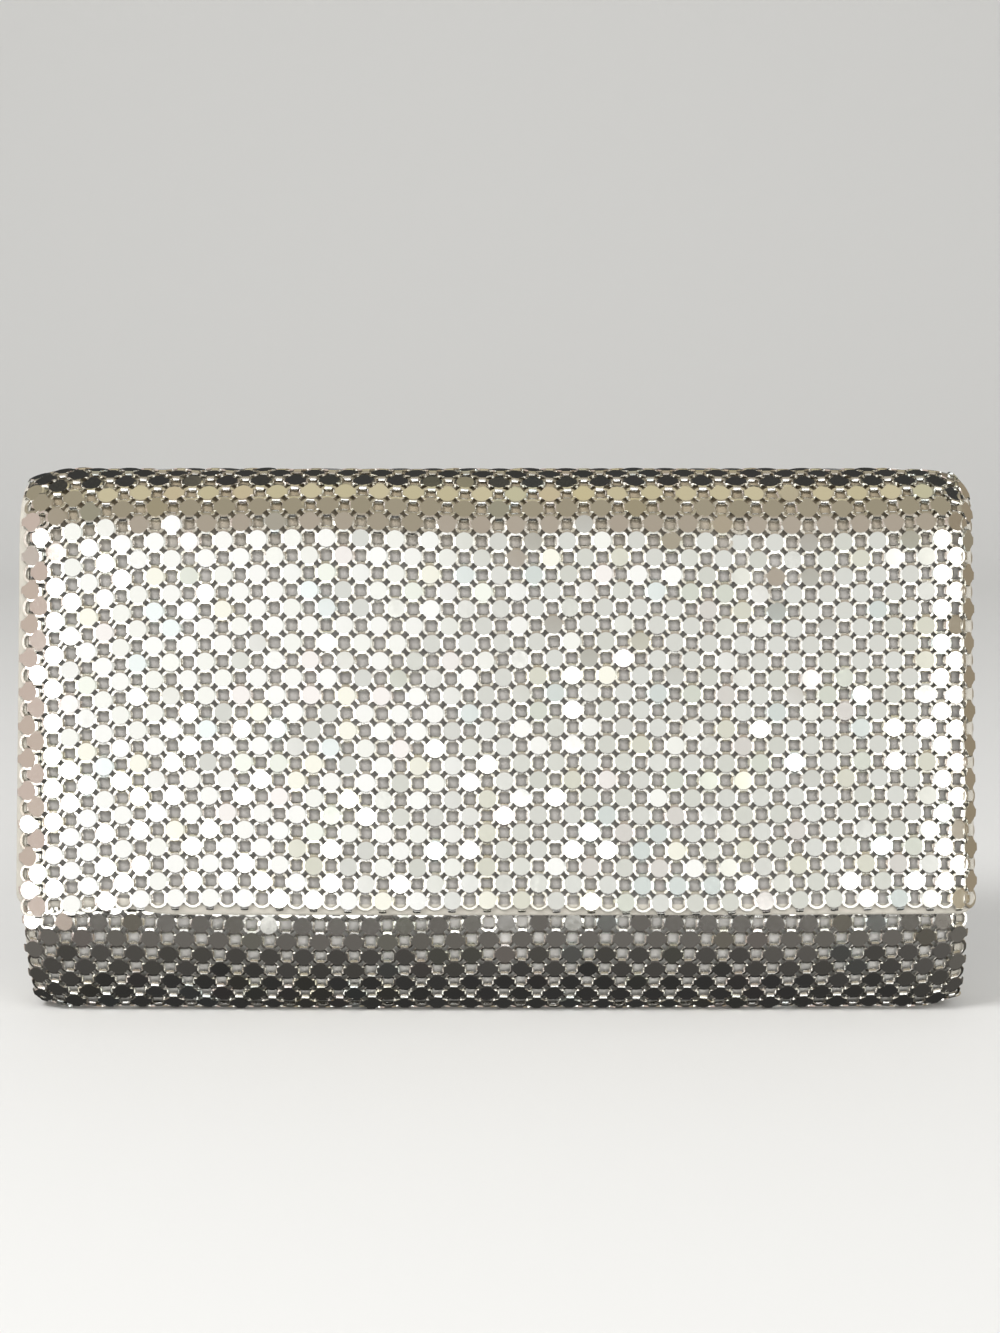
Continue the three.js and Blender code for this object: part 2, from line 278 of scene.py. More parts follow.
CLOTH_HALF = WIDTH / 2 - EDGING_WIDTH - CLEARANCE
CLOTH_TOP = 0.00115  # the cloth's face under the tops of the plates
CLOTH_STEP_ALONG = 0.0015
CLOTH_STEP_ACROSS = 0.0026
PATH_STEP = 0.0001
CLOTH_SHARP = math.radians(50)  # edges of the cloth that turn more than this stay crisp

FRONT_HEADING = math.radians(270) - FRONT_LEAN
CROWN_Z = HEIGHT - CROWN_RADIUS


def step(at, run, radius, bend):
    """Where a stretch ends, from where it starts: y, z and heading."""
    y, z, heading = at
    if bend == 0:
        return y + run * math.cos(heading), z + run * math.sin(heading), heading
    turned = heading + bend
    return (
        y + radius * (math.sin(turned) - math.sin(heading)),
        z - radius * (math.cos(turned) - math.cos(heading)),
        turned,
    )


def front_face(z):
    """Where the pouch's outer face stands at a height, on its flat stretch."""
    offset = CROWN_RADIUS - WALL - FLAP_GAP
    return -offset / math.cos(FRONT_LEAN) - (CROWN_Z - z) * math.tan(FRONT_LEAN)


def back_face(z):
    """Where the outer face of the back stands at a height, on its flat stretch."""
    return CROWN_RADIUS / math.cos(BACK_LEAN) + (CROWN_Z - z) * math.tan(BACK_LEAN)


front_belly = step((0, 0, FRONT_HEADING), 0, BELLY_RADIUS, BELLY_BEND)
front_foot = step(front_belly, 0, HEEL_RADIUS, HEEL_BEND)
back_heel = step((0, 0, 0), 0, BACK_HEEL_RADIUS, BACK_HEEL_BEND)
back_foot = step(back_heel, 0, BACK_BELLY_RADIUS, BACK_BELLY_BEND)
belly_top = -front_foot[1]
base_run = (back_face(back_foot[1]) - back_foot[0]) - (front_face(belly_top) + front_foot[0])
crown_back = CROWN_Z + CROWN_RADIUS * math.sin(BACK_LEAN)
crown_front = CROWN_Z + CROWN_RADIUS * math.sin(FRONT_LEAN)
mouth_height = HEIGHT - MOUTH_DROP

STRIP = [
    # name, run, radius, bend
    ("face", (mouth_height - belly_top) / math.cos(FRONT_LEAN), 0, 0),
    ("belly", 0, BELLY_RADIUS, BELLY_BEND),
    ("heel", 0, HEEL_RADIUS, HEEL_BEND),
    ("base", base_run, 0, 0),
    ("back_heel", 0, BACK_HEEL_RADIUS, BACK_HEEL_BEND),
    ("back_belly", 0, BACK_BELLY_RADIUS, BACK_BELLY_BEND),
    ("back", (crown_back - back_foot[1]) / math.cos(BACK_LEAN), 0, 0),
    ("crown", 0, CROWN_RADIUS, math.radians(180) - BACK_LEAN - FRONT_LEAN),
    ("flap", (crown_front - HEM_HEIGHT) / math.cos(FRONT_LEAN), 0, 0),
]
starts = {}
reached = 0.0
at = (front_face(mouth_height), mouth_height, FRONT_HEADING)
path = []
for name, run, radius, bend in STRIP:
    length = run + radius * bend
    starts[name] = reached
    count = max(2, int(length / PATH_STEP))
    for i in range(count):
        share = i / count
        path.append((reached + share * length, *step(at, share * run, radius, share * bend)))
    at = step(at, run, radius, bend)
    reached += length
path.append((reached, *at))
path = np.array(path)
HEM = reached
BASE_MIDDLE = starts["base"] + base_run / 2
SEAM = starts["crown"] - (crown_back - (HEIGHT - SEAM_DROP)) / math.cos(BACK_LEAN)
back_reach = (path[:, 1] + FULLNESS * np.sin(path[:, 3])).max()
SHIFT_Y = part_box("pouch_mesh")[1].y - back_reach


def place(x, s, out):
    """Points of the purse from the place across, along the strip and out from the outer face."""
    x, s, out = np.broadcast_arrays(*(np.asarray(value, float) for value in (x, s, out)))
    y = np.interp(s, path[:, 0], path[:, 1])
    z = np.interp(s, path[:, 0], path[:, 2])
    heading = np.interp(s, path[:, 0], path[:, 3])
    beyond = np.clip(s - HEM, 0, None)
    y = y + beyond * np.cos(heading)
    z = z + beyond * np.sin(heading)
    out_y = np.sin(heading)
    out_z = -np.cos(heading)
    down = np.clip((s - starts["flap"]) / (HEM - starts["flap"]), 0, None)
    into = np.clip((np.abs(x) - (WIDTH / 2 - ROLL_WIDTH)) / ROLL_WIDTH, 0, None)
    depth = out - ROLL_DEPTH * into**2
    swell = FULLNESS * out_y * np.clip(1 - (2 * x / WIDTH) ** 2, 0, None)
    spread_x = x * (1 + down * HEM_SPREAD / WIDTH)
    return np.stack((spread_x, y + out_y * depth + swell + SHIFT_Y, z + out_z * depth), -1)


def spaced(low, high, largest):
    """Even steps from low to high, none over the largest."""
    return np.linspace(low, high, max(1, math.ceil((high - low) / largest)) + 1)


def slab(name, front, back, lengths, material):
    """A closed sheet from two grids of points. Its UV map holds the cloth's width and length in metres."""
    rows, columns = front.shape[:2]
    index = np.arange(rows * columns).reshape(rows, columns)
    far = index + rows * columns
    quads = [np.stack((index[:-1, :-1], index[1:, :-1], index[1:, 1:], index[:-1, 1:]), -1).reshape(-1, 4)]
    quads += [np.stack((far[:-1, :-1], far[:-1, 1:], far[1:, 1:], far[1:, :-1]), -1).reshape(-1, 4)]
    for near_edge, far_edge in (
        (index[:, 0], far[:, 0]),
        (index[-1, :], far[-1, :]),
        (index[::-1, -1], far[::-1, -1]),
        (index[0, ::-1], far[0, ::-1]),
    ):
        quads += [np.stack((near_edge[:-1], far_edge[:-1], far_edge[1:], near_edge[1:]), -1)]
    faces = np.concatenate(quads)
    points = np.concatenate((front.reshape(-1, 3), back.reshape(-1, 3)))
    corners = points[faces]
    cross = np.cross(corners[:, 2] - corners[:, 0], corners[:, 3] - corners[:, 1])
    if (corners.mean(1) * cross).sum() < 0:
        faces = faces[:, ::-1]
    made = new_object(name, points, faces.tolist(), material)
    uv = made.data.uv_layers.new(name="cloth")
    flat = np.concatenate((lengths.reshape(-1, 2), lengths.reshape(-1, 2)))
    uv.data.foreach_set("uv", flat[faces.reshape(-1)].astype(np.float32).reshape(-1))
    made.data.set_sharp_from_angle(angle=CLOTH_SHARP)
    return made


def cloth_layer(name, start, end, material):
    """The cloth along a stretch of the strip, as wide as the edgings leave it."""
    along = spaced(start, end, CLOTH_STEP_ALONG)
    across = spaced(-CLOTH_HALF, CLOTH_HALF, CLOTH_STEP_ACROSS)
    s, x = np.meshgrid(along, across, indexing="ij")
    return slab(name, place(x, s, -CLOTH_TOP), place(x, s, -WALL), np.stack((x, s), -1), material)


SATIN_THREADS = 2400.0  # in a metre
THREAD_UNEVENNESS = 0.35
THREAD_DRIFT = 420.0  # how closely the uneven places follow each other
THREAD_SHADES = (0.1, 0.5)  # from the dark shade to the light one
THREAD_RELIEF = 0.00012
THREAD_BUMP = 0.5
CLOTH_ROUGHNESS = 0.62
CLOTH_SHEEN_ROUGHNESS = 0.4


def weave_group():
    """A plain weave: threads over and under each other, a little uneven."""
    inputs = [("Vector", "Vector"), ("Threads", "Float"), ("Unevenness", "Float")]
    tree, given = new_group("weave", inputs, [("Height", "Float"), ("Shade", "Float")])
    values = {"Vector": given["Vector"], "Scale": THREAD_DRIFT, "Detail": 3.0}
    drift = add(tree, "ShaderNodeTexNoise", values)
    sway = add(tree, "ShaderNodeMath", {0: drift.outputs[0], 1: given["Unevenness"]}, operation="MULTIPLY")
    waves = []
    part = add(tree, "ShaderNodeSeparateXYZ", {0: given["Vector"]}).outputs
    for i in range(2):
        turns = add(tree, "ShaderNodeMath", {0: part[i], 1: given["Threads"]}, operation="MULTIPLY")
        swayed = add(tree, "ShaderNodeMath", {0: turns.outputs[0], 1: sway.outputs[0]}, operation="ADD")
        wound = add(tree, "ShaderNodeMath", {0: swayed.outputs[0], 1: math.tau}, operation="MULTIPLY")
        waves.append(add(tree, "ShaderNodeMath", {0: wound.outputs[0]}, operation="SINE").outputs[0])
    crossed = add(tree, "ShaderNodeMath", {0: waves[0], 1: waves[1]}, operation="MULTIPLY")
    height = add(tree, "ShaderNodeMapRange", {"Value": crossed.outputs[0], "From Min": -1.0})
    add(tree, "NodeGroupOutput", {"Height": height.outputs[0], "Shade": drift.outputs[0]})
    return tree


WEAVE = weave_group()


def woven_material(name, light, dark, threads, sheen, warm_shade=None):
    """Woven cloth: its threads in relief, two shades that cloud into each other, and a soft sheen. It may
    have a painted warm shade towards its top: to which colour, and from which height to which."""
    material, tree = new_material(name)
    flat = add(tree, "ShaderNodeUVMap", uv_map="cloth")
    values = {"Vector": flat.outputs[0], "Threads": threads, "Unevenness": THREAD_UNEVENNESS}
    woven = use_group(tree, WEAVE, values)
    values = {0: woven.outputs["Height"], 1: woven.outputs["Shade"]}
    mix = add(tree, "ShaderNodeMath", values, operation="MULTIPLY")
    values = {"Value": mix.outputs[0], "From Min": THREAD_SHADES[0], "From Max": THREAD_SHADES[1]}
    shade = add(tree, "ShaderNodeMapRange", values)
    colour = add(tree, "ShaderNodeMix", {0: shade.outputs[0], 6: dark, 7: light}, data_type="RGBA")
    # painted warm shade: with height the colour is mixed towards a warm dark tint, for the warm light from
    # above
    if warm_shade:
        warm_colour, from_height, to_height = warm_shade
        place_on = add(tree, "ShaderNodeTexCoord").outputs["Object"]
        height = add(tree, "ShaderNodeSeparateXYZ", {0: place_on}).outputs[2]
        values = {"Value": height, "From Min": from_height, "From Max": to_height}
        share = add(tree, "ShaderNodeMapRange", values, interpolation_type="SMOOTHSTEP").outputs[0]
        colour = add(tree, "ShaderNodeMix", {0: share, 6: colour.outputs[2], 7: warm_colour}, data_type="RGBA")
    values = {"Height": woven.outputs["Height"], "Strength": THREAD_BUMP, "Distance": THREAD_RELIEF}
    relief = add(tree, "ShaderNodeBump", values)
    values = {"Base Color": colour.outputs[2], "Roughness": CLOTH_ROUGHNESS, "Normal": relief.outputs[0]}
    values |= {"Sheen Weight": sheen, "Sheen Roughness": CLOTH_SHEEN_ROUGHNESS}
    shading = add(tree, "ShaderNodeBsdfPrincipled", values)
    add(tree, "ShaderNodeOutputMaterial", {"Surface": shading.outputs[0]})
    return material


SATIN_SHEEN = 0.25
POUCH_TONES = ((0.80, 0.785, 0.755, 1), (0.64, 0.625, 0.60, 1))  # light and dark
cloth_material = woven_material("pale_satin", *POUCH_TONES, SATIN_THREADS, SATIN_SHEEN)

pouch_wall = cloth_layer("pouch_wall", 0, SEAM, cloth_material)
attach(pouch_wall, "root")
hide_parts("pouch_cloth")

# Gussets
# Two cloth side walls sewn inside the pouch's front and back, folded inwards down the middle and deeper
# towards the mouth, so that the pouch can open.
GUSSET_THICKNESS = 0.0012
GUSSET_INSET = 0.0012
GUSSET_FOLD = 0.007
GUSSET_FOOT_FOLD = 0.0015
GUSSET_TOP_DROP = 0.0015
GUSSET_CREASE = 1.6  # 1 is a sharp crease
GUSSET_ROWS = 44
GUSSET_CROWDING = 1.5  # the rows stand closer together towards the foot
GUSSET_COLUMNS = 30
GUSSET_PUCKER = 0.00025  # how far it puckers inwards
GUSSET_PUCKERS = 7  # from foot to mouth
GUSSET_EDGE = CLOTH_HALF - GUSSET_INSET
WALL_POINTS = 800  # along each face, to look up where it stands


def inside(x, height, start, end):
    """Where the pouch's inner face stands at a height, front or back."""
    s = np.linspace(start, end, WALL_POINTS)
    points = place(x, s, -WALL - CLEARANCE)
    order = np.argsort(points[:, 2])
    return np.interp(height, points[order, 2], points[order, 1])


def gusset(name, side):
    """One side wall: its outer face between front and back, and its inner face behind it."""
    foot = WALL + 2 * CLEARANCE + ROLL_DEPTH * ((GUSSET_EDGE - (WIDTH / 2 - ROLL_WIDTH)) / ROLL_WIDTH) ** 2
    share = np.linspace(0, 1, GUSSET_ROWS) ** GUSSET_CROWDING
    z = foot + (mouth_height - GUSSET_TOP_DROP - foot) * share
    front = inside(GUSSET_EDGE, z, 0, BASE_MIDDLE)
    back = inside(GUSSET_EDGE, z, BASE_MIDDLE, starts["crown"])
    fold = GUSSET_FOOT_FOLD + (GUSSET_FOLD - GUSSET_FOOT_FOLD) * share
    across = np.linspace(0, 1, GUSSET_COLUMNS)
    inset = fold[:, None] * (1 - np.abs(2 * across - 1) ** GUSSET_CREASE)
    puckers = 1 - np.cos(share * math.tau * GUSSET_PUCKERS)
    inset += GUSSET_PUCKER * puckers[:, None] * np.sin(across * math.pi) ** 2
    y = front[:, None] + (back - front)[:, None] * across
    heights = np.broadcast_to(z[:, None], y.shape)
    outer = np.stack((side * (GUSSET_EDGE - inset), y, heights), -1)
    inner = outer - np.array([side * GUSSET_THICKNESS, 0, 0])
    steps = np.linalg.norm(np.diff(outer, axis=1), axis=2)
    along = np.concatenate((np.zeros((GUSSET_ROWS, 1)), np.cumsum(steps, axis=1)), axis=1)
    made = slab(name, outer, inner, np.stack((along, heights), -1), cloth_material)
    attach(made, "root")
    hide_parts(name.replace("wall", "gusset"))


gusset("wall_left", -1)
gusset("wall_right", 1)

# Pouch edgings
# A pale cloth tape folded round each raw side edge of the pouch, from the mouth down, under the base and up
# the back to the seam.
TAPE_THICKNESS = 0.0005
TAPE_TOP = 0.0009  # its outer face under the tops of the plates, which hang over it
TAPE_FOLD = [
    # in from the outer edge, and under the wall's outer face: 0 is the tape's outer leg, 1 its inner leg
    (1.0, 0.0),
    (0.60, 0.0),
    (0.22, 0.03),
    (0.04, 0.20),
    (0.0, 0.5),
    (0.04, 0.80),
    (0.22, 0.97),
    (0.60, 1.0),
    (1.0, 1.0),
]
TAPE_RIPPLE = 0.00012
RIPPLE_TURNS = (1.9, 0.73)  # of its two waves, in radians a step
TAPE_SHARP = math.radians(60)
TAPE_WIDTH = 2 * EDGING_WIDTH + WALL - TAPE_TOP


def tape_section():
    """The folded tape's outline: out along its outer side and back along its inner side."""
    depth = WALL - TAPE_TOP
    outer = [(across * EDGING_WIDTH, TAPE_TOP + under * depth) for across, under in TAPE_FOLD]
    narrow = (EDGING_WIDTH - TAPE_THICKNESS) / EDGING_WIDTH
    shallow = (depth - 2 * TAPE_THICKNESS) / depth
    inner = [
        (
            EDGING_WIDTH if across == 1 else TAPE_THICKNESS + across * EDGING_WIDTH * narrow,
            TAPE_TOP + TAPE_THICKNESS + under * depth * shallow,
        )
        for across, under in TAPE_FOLD
    ]
    return outer + inner[::-1]


def tape(name, line, node):
    """The tape folded round an edge. The line gives its places for each distance in from the edge."""
    section = tape_section()
    half = len(section) // 2
    rings = []
    for i, (inset, under) in enumerate(section):
        x, s = line(inset)
        steps = np.arange(len(x))
        ripple = TAPE_RIPPLE * (np.sin(steps * RIPPLE_TURNS[0]) + np.sin(steps * RIPPLE_TURNS[1] + 2)) / 2
        rings.append(place(x, s, -under + (ripple if i < half else 0)))
    rings = np.array(rings)
    sides, count = rings.shape[:2]
    index = np.arange(sides * count).reshape(sides, count)
    beside = np.roll(index, -1, axis=0)
    faces = np.stack((index[:, :-1], beside[:, :-1], beside[:, 1:], index[:, 1:]), -1).reshape(-1, 4)
    flat_faces = faces.tolist()
    for i in range(half - 1):
        a, b, c, d = i, i + 1, sides - 2 - i, sides - 1 - i
        flat_faces.append([int(index[a, 0]), int(index[d, 0]), int(index[c, 0]), int(index[b, 0])])
        flat_faces.append([int(index[a, -1]), int(index[b, -1]), int(index[c, -1]), int(index[d, -1])])
    points = rings.reshape(-1, 3)
    corners = points[np.array(flat_faces)]
    cross = np.cross(corners[:, 2] - corners[:, 0], corners[:, 3] - corners[:, 1])
    if ((corners.mean(1) - points.mean(0)) * cross).sum() < 0:
        flat_faces = [face[::-1] for face in flat_faces]
    made = new_object(name, points, flat_faces, tape_material)
    run = np.concatenate(([0], np.cumsum(np.linalg.norm(np.diff(rings[half // 2], axis=0), axis=1))))
    round_it = np.minimum(np.arange(sides), sides - 1 - np.arange(sides)) * TAPE_WIDTH / (half - 1)
    lengths = np.stack(np.broadcast_arrays(round_it[:, None], run[None, :]), -1).reshape(-1, 2)
    uv = made.data.uv_layers.new(name="cloth")
    used = [corner for face in flat_faces for corner in face]
    uv.data.foreach_set("uv", lengths[used].astype(np.float32).reshape(-1))
    made.data.set_sharp_from_angle(angle=TAPE_SHARP)
    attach(made, "root")
    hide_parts(node)
    return made


TAPE_TONES = ((0.70, 0.665, 0.59, 1), (0.53, 0.50, 0.435, 1))  # light and dark
TAPE_THREADS = 1900.0
TAPE_SHEEN = 0.3
TAPE_STEP = 0.0015
tape_material = woven_material("pale_tape", *TAPE_TONES, TAPE_THREADS, TAPE_SHEEN)


def side_line(side):
    """The pouch's edge on one side, from the mouth to the seam."""
    s = spaced(0, SEAM, TAPE_STEP)
    return lambda inset: (np.full_like(s, side * (WIDTH / 2 - inset)), s)


pouch_tapes = [
    tape("pouch_tape_left", side_line(-1), "pouch_edging_left"),
    tape("pouch_tape_right", side_line(1), "pouch_edging_right"),
]

# Flap panel
# A cloth sewn to the top of the back, taken over the crown and down the front. Its tones are painted darker
# than the pouch cloth's: painted shade for the flap's holes. Over the crown it gets a painted warm shade.
FLAP_START = SEAM + CLEARANCE
FLAP_CLOTH_END = HEM - EDGING_WIDTH - CLEARANCE
# painted shade: both tones are darker than the pouch cloth's, to give the flap's holes their shade
FLAP_SHADED_TONES = ((0.52, 0.50, 0.475, 1), (0.36, 0.345, 0.325, 1))  # light and dark
# painted warm shade over the crown, standing in for the warm light from the room above
CROWN_WARM_SHADE = ((0.34, 0.285, 0.20, 1), 0.096, 0.109)  # its colour, and between which heights it sets in

flap_cloth = woven_material("flap_satin_painted_shade", *FLAP_SHADED_TONES, SATIN_THREADS, SATIN_SHEEN, CROWN_WARM_SHADE)
flap_panel = cloth_layer("flap_panel", FLAP_START, FLAP_CLOTH_END, flap_cloth)
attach(flap_panel, "root")
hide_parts("flap_cloth")

# Flap edging
# One length of the pale tape, folded round the flap's raw edge: down one side, along the hem and up the
# other. The hem has curled up behind the last plates, most of all at its left end.
CORNER_RADIUS = 0.0032
CORNER_STEPS = 9
HEM_LIFT = 0.0014  # at the left end
HEM_CURL = 0.0006  # all along
LIFT_START, LIFT_RUN = 0.066, 0.012  # to the left of the middle
LIFT_FADE = 0.020  # above the hem


def hem_line(inset):
    """The flap's edge from seam to seam, at a distance in from it."""
    corner = max(CORNER_RADIUS, inset)
    down = spaced(FLAP_START, HEM - CORNER_RADIUS, TAPE_STEP)
    share = (down - FLAP_START) / (HEM - CORNER_RADIUS - FLAP_START)
    left_s = FLAP_START + share * (HEM - corner - FLAP_START)
    left_x = np.full_like(left_s, inset - WIDTH / 2)
    turn = np.linspace(0, math.pi / 2, CORNER_STEPS)[1:-1]
    turn_x = corner - WIDTH / 2 - (corner - inset) * np.cos(turn)
    turn_s = HEM - corner + (corner - inset) * np.sin(turn)
    along = spaced(-1, 1, 2 * TAPE_STEP / WIDTH) * (WIDTH / 2 - corner)
    x = np.concatenate((left_x, turn_x, along, -turn_x[::-1], -left_x[::-1]))
    s = np.concatenate((left_s, turn_s, np.full_like(along, HEM - inset), turn_s[::-1], left_s[::-1]))
    share = np.clip((-x - LIFT_START) / LIFT_RUN, 0, 1)
    lift = HEM_CURL + HEM_LIFT * share**2 * (3 - 2 * share)
    return x, s - lift * np.clip(1 - (HEM - s) / LIFT_FADE, 0, 1)


flap_tape = tape("flap_tape", hem_line, "flap_edging")

# Plates of the mesh
# Thin polished discs, each with four arms that turn down through the rings on its four sides and hook back
# under them. Every plate sits at a slightly different angle, so each mirrors its own bit of the room.
HALF_PITCH = 0.00354
PLATE_RADIUS = 0.00189
PLATE_UNDER_RADIUS = 0.00194
PLATE_THICKNESS = 0.00028
ARMS = 4
ARM_APART = 90
ARM_ROOT_TURN = 29
PLATE_TURNS = (-ARM_ROOT_TURN, 0, ARM_ROOT_TURN, 45)  # an arm's two sides with its middle, then the bare rim
ARM_MIDDLE = 1
ARM = [
    # reach and drop of its outer face, reach and drop of its inner face, half width
    (0.00218, 0.00007, 0.00203, 0.00032, 0.00080),
    (0.00250, 0.00036, 0.00219, 0.00048, 0.00076),
    (0.00260, 0.00086, 0.00230, 0.00084, 0.00060),
]
ARM_CROWN = 0.00006  # how far the middle of an arm's outer face stands proud
ARM_ROUGHNESS = 0.26
PLATE_TILT = math.radians(5.7)
PLATE_SHARP = math.radians(50)


def plate_shape(material):
    """One plate with its arms, lying flat with its polished face at the origin."""
    turns = [math.radians(ARM_APART * arm + turn) for arm in range(ARMS) for turn in PLATE_TURNS]
    sides = len(turns)
    each = len(PLATE_TURNS)
    points = [(PLATE_RADIUS * math.cos(a), PLATE_RADIUS * math.sin(a), 0) for a in turns]
    under = [i for i in range(sides) if i % each != ARM_MIDDLE]
    below = {i: sides + j for j, i in enumerate(under)}
    for i in under:
        rim_x = PLATE_UNDER_RADIUS * math.cos(turns[i])
        rim_y = PLATE_UNDER_RADIUS * math.sin(turns[i])
        points.append((rim_x, rim_y, -PLATE_THICKNESS))
    faces = [tuple(range(sides)), tuple(below[i] for i in reversed(under))]
    level = [0, 1]
    for i in range(sides):
        if i % each > ARM_MIDDLE:
            after = (i + 1) % sides
            faces.append((i, below[i], below[after], after))
    for arm in range(ARMS):
        root = each * arm
        ring = [root, root + 1, root + 2, below[root + 2], below[root]]
        turn = Matrix.Rotation(math.radians(ARM_APART * arm), 3, "Z")
        level += [len(faces), len(faces) + 1]
        for reach, drop, inner_reach, inner_drop, half in ARM:
            section = [(reach, -half, -drop), (reach + ARM_CROWN, 0, -drop), (reach, half, -drop)]
            section += [(inner_reach, half, -inner_drop), (inner_reach, -half, -inner_drop)]
            fresh = list(range(len(points), len(points) + 5))
            points += [tuple(turn @ Vector(point)) for point in section]
            faces += [(ring[i], fresh[i], fresh[(i + 1) % 5], ring[(i + 1) % 5]) for i in range(5)]
            ring = fresh
        faces.append(tuple(ring))
    made = new_object("plate_shape", points, faces, material)
    made.data.set_sharp_from_angle(angle=PLATE_SHARP)
    for i in level:
        made.data.polygons[i].use_smooth = False
    disc = sides + len(under)
    layer = made.data.attributes.new("arm", "FLOAT", "POINT")
    layer.data.foreach_set("value", [0.0] * disc + [1.0] * (len(points) - disc))
    return made


def linked_tree():
    """Puts a shape on every point of a carrier, turned to face outwards and tilted a little at random."""
    tree = bpy.data.node_groups.new("linked_mesh", "GeometryNodeTree")
    sockets = [("Carrier", "Geometry"), ("Shape", "Object")]
    sockets += [("Tilt", "Float"), ("Seed", "Int"), ("Finish", "Material")]
    for name, kind in sockets:
        tree.interface.new_socket(name=name, in_out="INPUT", socket_type="NodeSocket" + kind)
    tree.interface.new_socket(name="Mesh", in_out="OUTPUT", socket_type="NodeSocketGeometry")
    given = add(tree, "NodeGroupInput").outputs
    facing = add(tree, "GeometryNodeInputNamedAttribute", {"Name": "facing"}, data_type="FLOAT_VECTOR")
    along = add(tree, "GeometryNodeInputNamedAttribute", {"Name": "along"}, data_type="FLOAT_VECTOR")
    outwards = add(tree, "FunctionNodeAlignRotationToVector", {"Vector": facing.outputs[0]}, axis="Z")
    values = {"Rotation": outwards.outputs[0], "Vector": along.outputs[0]}
    in_line = add(tree, "FunctionNodeAlignRotationToVector", values, axis="Y", pivot_axis="Z")
    chance = add(tree, "FunctionNodeRandomValue", {"Seed": given["Seed"]}, data_type="FLOAT_VECTOR")
    chance.inputs["Min"].default_value = (-1, -1, -1)
    chance.inputs["Max"].default_value = (1, 1, 1)
    lean = chance.outputs[0]
    for _ in range(2):  # most plates lean little and a few lean far
        values = {0: lean, 1: chance.outputs[0]}
        lean = add(tree, "ShaderNodeVectorMath", values, operation="MULTIPLY").outputs[0]
    lean = add(tree, "ShaderNodeVectorMath", {0: lean, "Scale": given["Tilt"]}, operation="SCALE").outputs[0]
    tilt = add(tree, "FunctionNodeEulerToRotation", {"Euler": lean})
    values = {"Rotation": in_line.outputs[0], "Rotate By": tilt.outputs[0]}
    turned = add(tree, "FunctionNodeRotateRotation", values, rotation_space="LOCAL")
    shape = add(tree, "GeometryNodeObjectInfo", {"Object": given["Shape"]})
    values = {"Points": given["Carrier"], "Instance": shape.outputs["Geometry"]}
    values |= {"Rotation": turned.outputs[0]}
    copies = add(tree, "GeometryNodeInstanceOnPoints", values)
    tone = add(tree, "FunctionNodeRandomValue", {"Seed": given["Seed"]}, data_type="FLOAT")
    values = {"Geometry": copies.outputs[0], "Name": "tone", "Value": tone.outputs[1]}
    bare = add(tree, "GeometryNodeStoreNamedAttribute", values, data_type="FLOAT", domain="INSTANCE")
    for name in ("facing", "along"):
        bare = add(tree, "GeometryNodeRemoveAttribute", {"Geometry": bare.outputs[0], "Name": name})
    real = add(tree, "GeometryNodeRealizeInstances", {"Geometry": bare.outputs[0]})
    values = {"Geometry": real.outputs[0], "Material": given["Finish"]}
    finished = add(tree, "GeometryNodeSetMaterial", values)
    add(tree, "NodeGroupOutput", {"Mesh": finished.outputs[0]})
    return tree


LINKED = linked_tree()
NUDGE = 0.00002  # the step that gives the mesh's own directions at a place


def carrier(name, columns, rows, parity, where, out):
    """Points for every other crossing of columns and rows, each with the way it faces and its line up."""
    k, m = np.meshgrid(columns, rows, indexing="ij")
    kept = (k + m) % 2 == parity
    k, m = k[kept].astype(float), m[kept].astype(float)
    nudge = NUDGE / HALF_PITCH
    points = where(k, m, out)
    along = where(k, m + nudge, out) - where(k, m - nudge, out)
    across = where(k + nudge, m, out) - where(k - nudge, m, out)
    facing = np.cross(along, across)
    facing /= np.linalg.norm(facing, axis=1)[:, None]
    along /= np.linalg.norm(along, axis=1)[:, None]
    made = new_object(name, points, [], None)
    for attribute, values in (("facing", facing), ("along", along)):
        layer = made.data.attributes.new(attribute, "FLOAT_VECTOR", "POINT")
        layer.data.foreach_set("vector", values.astype(np.float32).reshape(-1))
    return made


def linked(name, points, shape, tilt, seed, finish, node):
    """Runs the tree on a carrier and keeps the result as a plain mesh piece."""
    sockets = {item.name: item.identifier for item in LINKED.interface.items_tree if item.in_out == "INPUT"}
    modifier = points.modifiers.new("linked", "NODES")
    modifier.node_group = LINKED
    modifier[sockets["Shape"]] = shape
    modifier[sockets["Tilt"]] = tilt
    modifier[sockets["Seed"]] = seed
    modifier[sockets["Finish"]] = finish
    evaluated = points.evaluated_get(bpy.context.evaluated_depsgraph_get())
    made = bpy.data.objects.new(name, bpy.data.meshes.new_from_object(evaluated))
    made.data.name = name
    bpy.context.scene.collection.objects.link(made)
    bpy.data.objects.remove(points)
    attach(made, "root")
    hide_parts(node)


# The flap's mesh hangs unevenly: it droops towards the left edge, its columns crowd at both side edges, and
# a few slanting creases run through its top rows. At the side edges the plates stay where they are sewn.
LAST_ROW_RISE = 0.0038  # the last row of plates above the flap's lower edge
FLAP_ALONG_START = HEM - LAST_ROW_RISE
FLAP_MIDDLE = -0.0013
FLAP_COLUMNS = range(-27, 29)
FLAP_ROWS = range(-37, 1)
LEFT_STRETCH = 1.012
RIGHT_CROWD = 0.0024
CROWD_START, CROWD_RUN = 0.060, 0.038
LEFT_CROWD = 0.0017
LEFT_CROWD_START, LEFT_CROWD_RUN = 0.0935, 0.0045
DROOP = 0.0036
DROOP_START, DROOP_RUN = 0.072, 0.026
DROOP_CURVE = 1.3
DROOP_AT_HEM, DROOP_FADE = 0.3, 0.040
SHEAR = 0.0013  # how far the rows have slipped to the left at the flap's top
EVEN_TO, EVEN_RUN = 0.097, 0.03  # the slip ends before the side edges
SWAY = 0.00028
